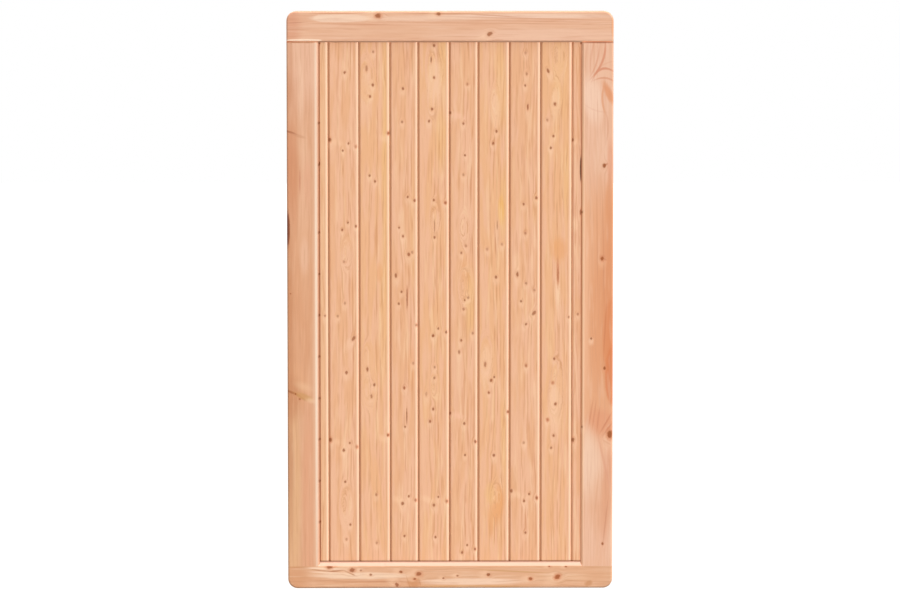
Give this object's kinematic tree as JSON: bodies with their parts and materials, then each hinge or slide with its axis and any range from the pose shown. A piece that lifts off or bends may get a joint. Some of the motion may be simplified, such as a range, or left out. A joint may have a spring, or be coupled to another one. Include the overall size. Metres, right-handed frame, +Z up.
{
  "type": "wooden fence panel",
  "caption": "Solid wooden privacy fence panel: a grooved softwood frame with rounded corners, filled with upright tongue-and-groove boards with V joints.",
  "frame": {"origin": "centre of the panel's bottom edge, halfway through its thickness, on the surface it stands on", "axes": "+Z up along the panel's height, +X along its width to the right seen from the front, +Y through its thickness to the back, so the front face looks along -Y"},
  "size_m": [0.9, 0.042, 1.6],
  "materials": {
    "rail_wood": "planed, bare",
    "stile_wood": "planed, bare",
    "board_wood": "planed, bare",
    "dowel_wood": "fluted beech"
  },
  "bodies": {
    "root": {"top_rail": "rail_wood", "bottom_rail": "rail_wood", "left_stile": "stile_wood", "right_stile": "stile_wood", "left_edge_board": "board_wood", "board_1": "board_wood", "board_2": "board_wood", "board_3": "board_wood", "board_4": "board_wood", "board_5": "board_wood", "board_6": "board_wood", "board_7": "board_wood", "board_8": "board_wood", "right_edge_board": "board_wood", "corner_dowels": "dowel_wood"}
  },
  "joints": []
}
